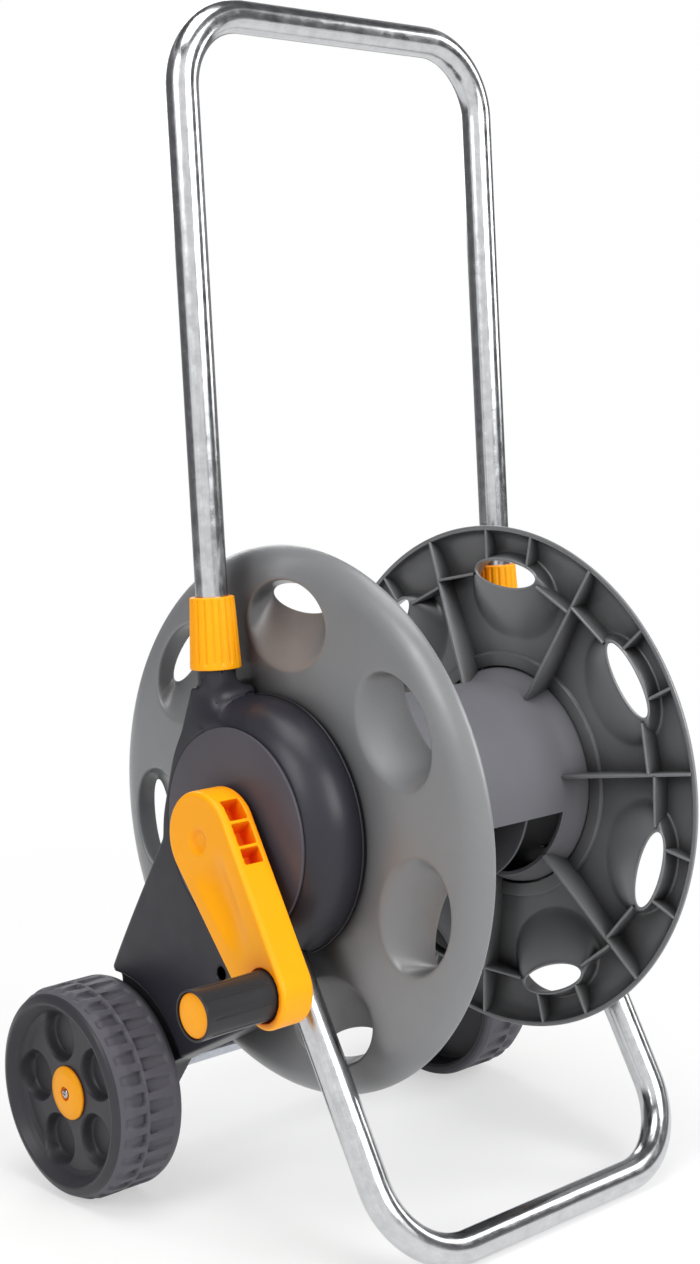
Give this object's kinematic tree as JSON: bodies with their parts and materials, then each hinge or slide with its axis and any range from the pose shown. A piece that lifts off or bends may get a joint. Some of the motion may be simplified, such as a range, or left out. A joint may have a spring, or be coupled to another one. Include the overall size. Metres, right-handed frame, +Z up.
{
  "type": "hose reel cart",
  "caption": "Wheeled cart with a cranked hose drum between scooped flanges, a telescoping tube handle, a tube foot and a swivelling water inlet.",
  "frame": {"origin": "centre of the cart's box on the floor, in its working stance with the handle out", "axes": "+Z up; +X along the drum from the crank side to the water inlet side; +Y from the foot bar to the wheels"},
  "size_m": [0.4628, 0.412, 0.8372],
  "materials": {
    "plated_steel": "bright zinc plated tube",
    "frame_charcoal": "satin moulded",
    "flange_grey": "satin moulded",
    "barrel_grey": "satin moulded",
    "yellow": "smooth moulded",
    "wheel_dark": "fine texture",
    "grip_dark": "satin",
    "bush_white": "natural acetal",
    "screw_steel": "bright",
    "seal_rubber": "black",
    "plug_black": "satin"
  },
  "bodies": {
    "chassis": {"side_frame_crank_side": "frame_charcoal", "side_frame_inlet_side": "frame_charcoal", "back_plate_crank_side": "frame_charcoal", "back_plate_inlet_side": "frame_charcoal", "boss_cover_crank_side": "frame_charcoal", "boss_cover_inlet_side": "frame_charcoal", "drum_bush_crank_side": "bush_white", "drum_bush_inlet_side": "bush_white", "shaft_bush": "bush_white", "frame_screws_crank_side": "screw_steel", "frame_screws_inlet_side": "screw_steel", "foot_tube": "plated_steel", "foot_tube_pins": "screw_steel", "axle": "plated_steel", "wheel_washers": "screw_steel", "hub_cap_crank_side": "yellow", "hub_cap_inlet_side": "yellow", "hub_cap_screws": "screw_steel", "collet_crank_side": "bush_white", "collet_inlet_side": "bush_white", "inlet_stem": "frame_charcoal", "stem_screws": "screw_steel", "stem_seals": "seal_rubber"},
    "handle": {"handle_tube": "plated_steel", "handle_plugs": "plug_black"},
    "collar_crank": {"collar_crank_side": "yellow"},
    "collar_inlet": {"collar_inlet_side": "yellow"},
    "drum": {"flange_crank_side": "flange_grey", "flange_inlet_side": "flange_grey", "drum_barrel": "barrel_grey", "drum_screws_crank_side": "screw_steel", "drum_screws_inlet_side": "screw_steel", "crank_arm": "yellow", "crank_shaft": "plug_black", "crank_bolt": "screw_steel", "grip_pin": "yellow", "drum_elbow": "barrel_grey", "hose_tail": "plug_black"},
    "grip": {"grip_sleeve": "grip_dark"},
    "wheel_crank": {"wheel_crank_side": "wheel_dark"},
    "wheel_inlet": {"wheel_inlet_side": "wheel_dark"},
    "inlet_swivel": {"inlet_elbow": "frame_charcoal", "inlet_clip": "screw_steel", "inlet_nose": "yellow"}
  },
  "joints": [
    {"name": "drum_spin", "type": "hinge", "parent": "chassis", "child": "drum", "pos_m": [0.0204, -0.01605, 0.2806], "axis": [1, 0, 0], "continuous": true},
    {"name": "grip_spin", "type": "hinge", "parent": "drum", "child": "grip", "pos_m": [-0.2011, -0.0915, 0.19381], "axis": [1, 0, 0], "continuous": true},
    {"name": "wheel_crank_spin", "type": "hinge", "parent": "chassis", "child": "wheel_crank", "pos_m": [-0.1621, 0.12875, 0.0773], "axis": [1, 0, 0], "continuous": true},
    {"name": "wheel_inlet_spin", "type": "hinge", "parent": "chassis", "child": "wheel_inlet", "pos_m": [0.2029, 0.12875, 0.0773], "axis": [1, 0, 0], "continuous": true},
    {"name": "handle_slide", "type": "slide", "parent": "chassis", "child": "handle", "axis": [0, 0.0288, 0.9996], "range_m": [-0.165, 0]},
    {"name": "collar_crank_turn", "type": "hinge", "parent": "chassis", "child": "collar_crank", "pos_m": [-0.1186, 0.01612, 0.40815], "axis": [0, 0.0288, 0.9996], "range_deg": [0, 90]},
    {"name": "collar_inlet_turn", "type": "hinge", "parent": "chassis", "child": "collar_inlet", "pos_m": [0.1594, 0.01612, 0.40815], "axis": [0, 0.0288, 0.9996], "range_deg": [0, 90]},
    {"name": "inlet_swivel_turn", "type": "hinge", "parent": "chassis", "child": "inlet_swivel", "pos_m": [0.1904, -0.01605, 0.2806], "axis": [1, 0, 0], "continuous": true}
  ]
}
